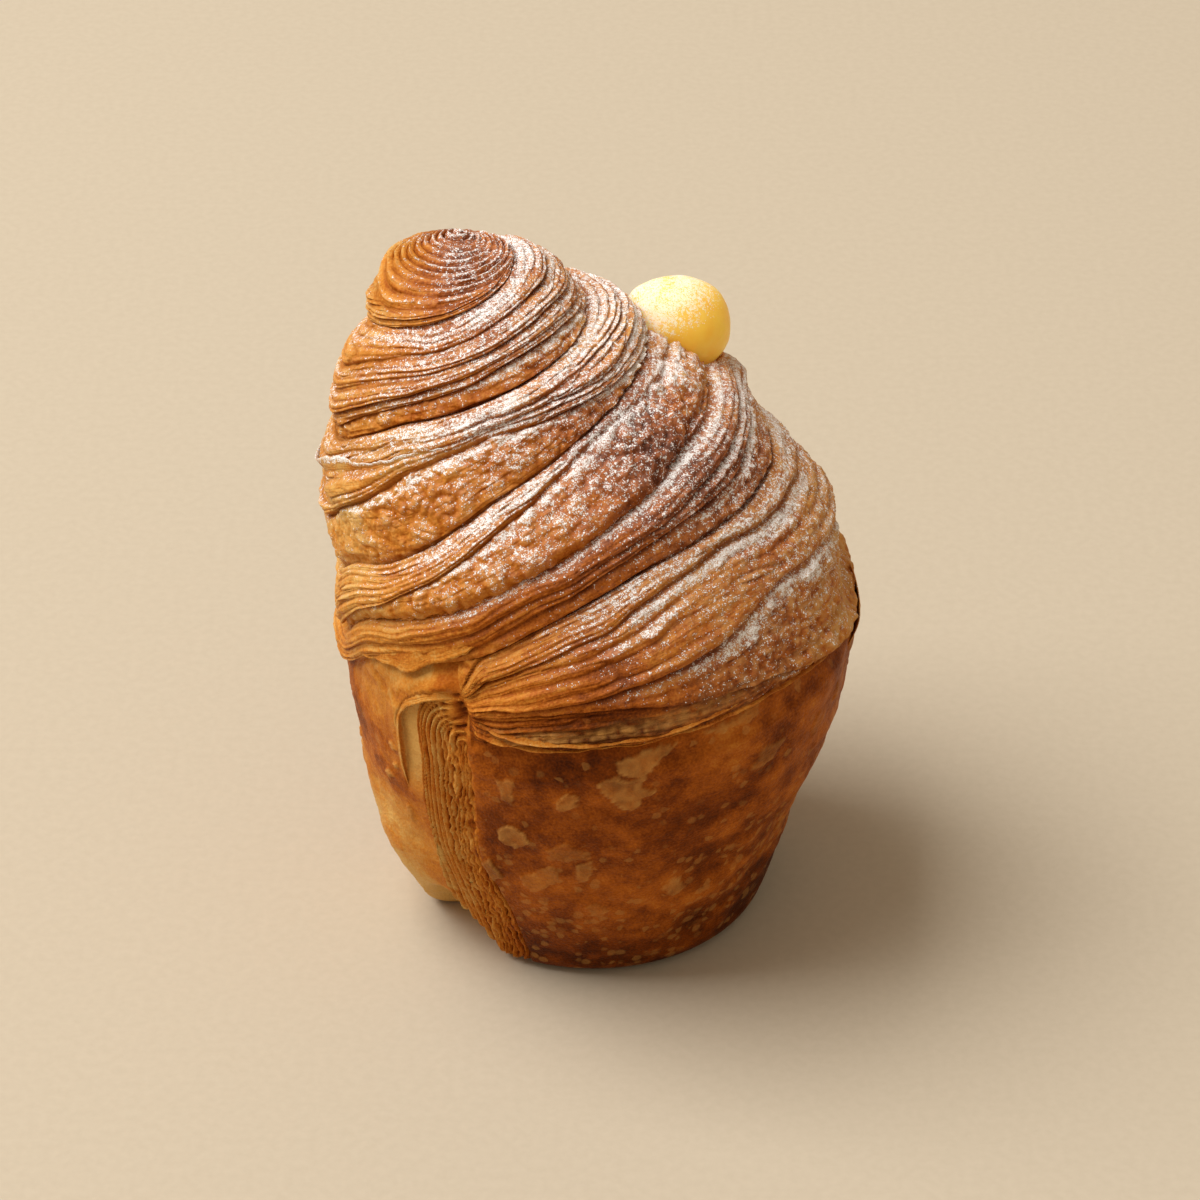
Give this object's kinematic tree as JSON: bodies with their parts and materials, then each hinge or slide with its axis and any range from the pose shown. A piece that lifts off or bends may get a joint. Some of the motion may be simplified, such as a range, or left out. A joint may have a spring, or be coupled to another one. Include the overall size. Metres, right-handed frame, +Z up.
{
  "type": "cruffin",
  "caption": "Tall cruffin: laminated pastry wound in a leaning, ridged spiral over a tin-shaped base, dusted with sugar, with a dollop of custard cream set in its shoulder",
  "frame": {"origin": "Middle of the flat underside that it stands on", "axes": "+Z is up, -Y is the front, with the tail of the strip to the left of its middle, and +X is the right, where the cream sits"},
  "size_m": [0.082, 0.0761, 0.1125],
  "materials": {
    "crust": "matte",
    "cream": "satin"
  },
  "bodies": {
    "root": {"pastry": "crust", "cream": "cream"}
  },
  "joints": []
}
